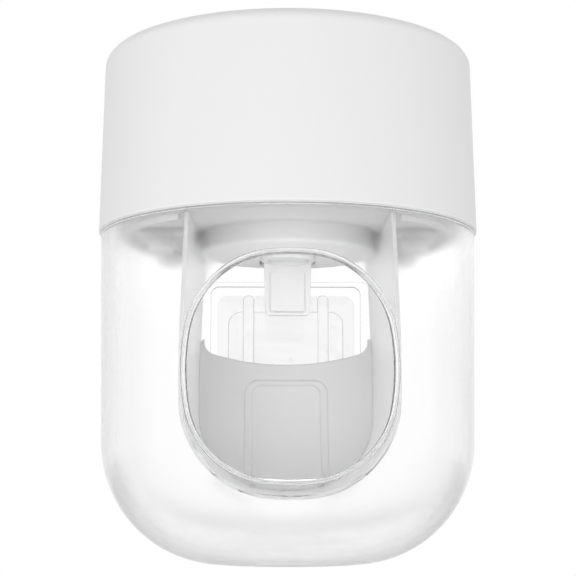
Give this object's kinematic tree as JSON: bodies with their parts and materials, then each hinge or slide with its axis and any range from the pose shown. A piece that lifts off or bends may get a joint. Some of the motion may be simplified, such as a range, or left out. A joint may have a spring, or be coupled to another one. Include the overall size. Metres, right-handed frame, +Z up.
{
  "type": "toothpaste dispenser",
  "caption": "Wall-mounted toothpaste dispenser: white cap over a clear capsule shell with an oval brush tunnel, push lever and squeeze pump.",
  "frame": {"origin": "centre of the adhesive pad's rear face, where the dispenser meets the wall", "axes": "+Z up, +Y into the wall, the brush opening faces -Y"},
  "size_m": [0.079, 0.0755, 0.1055],
  "materials": {
    "clear_gel": "clear acrylic gel pad, slightly cloudy",
    "clear_bracket": "clear moulded plastic, polished",
    "clear_shell": "clear thick-walled plastic, polished outside",
    "white_liner": "white moulded plastic, satin",
    "grey_panel": "pale grey moulded plastic, satin",
    "white_core": "white moulded plastic, satin",
    "screw_steel": "zinc-plated steel",
    "soft_silicone": "translucent white silicone",
    "natural_core": "natural polypropylene, half clear",
    "lever_plastic": "off-white moulded plastic, satin",
    "pin_steel": "ground stainless steel",
    "white_cap": "bright white plastic, fine satin"
  },
  "bodies": {
    "bracket": {"wall_bracket": "clear_bracket", "adhesive_pad": "clear_gel"},
    "housing": {"clear_shell": "clear_shell", "tunnel_liner": "white_liner", "rear_panel": "grey_panel", "chassis": "white_core", "liner_screws": "screw_steel", "cap_seal": "soft_silicone", "pump_drum": "white_core", "pump_screws": "screw_steel", "outlet_collar": "white_core", "outlet_valve": "soft_silicone", "pump_chamber": "natural_core", "inlet_valve_seat": "natural_core", "inlet_valve": "soft_silicone", "tube_socket": "soft_silicone", "socket_ring": "white_core", "pump_bulb": "soft_silicone", "bulb_ring": "natural_core", "lever_pin": "pin_steel", "return_spring": "pin_steel"},
    "cap": {"top_cap": "white_cap"},
    "lever": {"push_lever": "lever_plastic"}
  },
  "joints": [
    {"name": "lift_off", "type": "slide", "parent": "bracket", "child": "housing", "axis": [0, 0, 1], "range_m": [0, 0.034]},
    {"name": "cap_lift", "type": "slide", "parent": "housing", "child": "cap", "axis": [0, 0, 1], "range_m": [0, 0.04]},
    {"name": "lever_push", "type": "hinge", "parent": "housing", "child": "lever", "pos_m": [0, -0.027, 0.0327], "axis": [1, 0, 0], "range_deg": [0, 22], "stiffness_Nm_per_rad": 0.08, "springref_deg": -11.46, "deforming": ["pump_bulb", "return_spring"]}
  ]
}
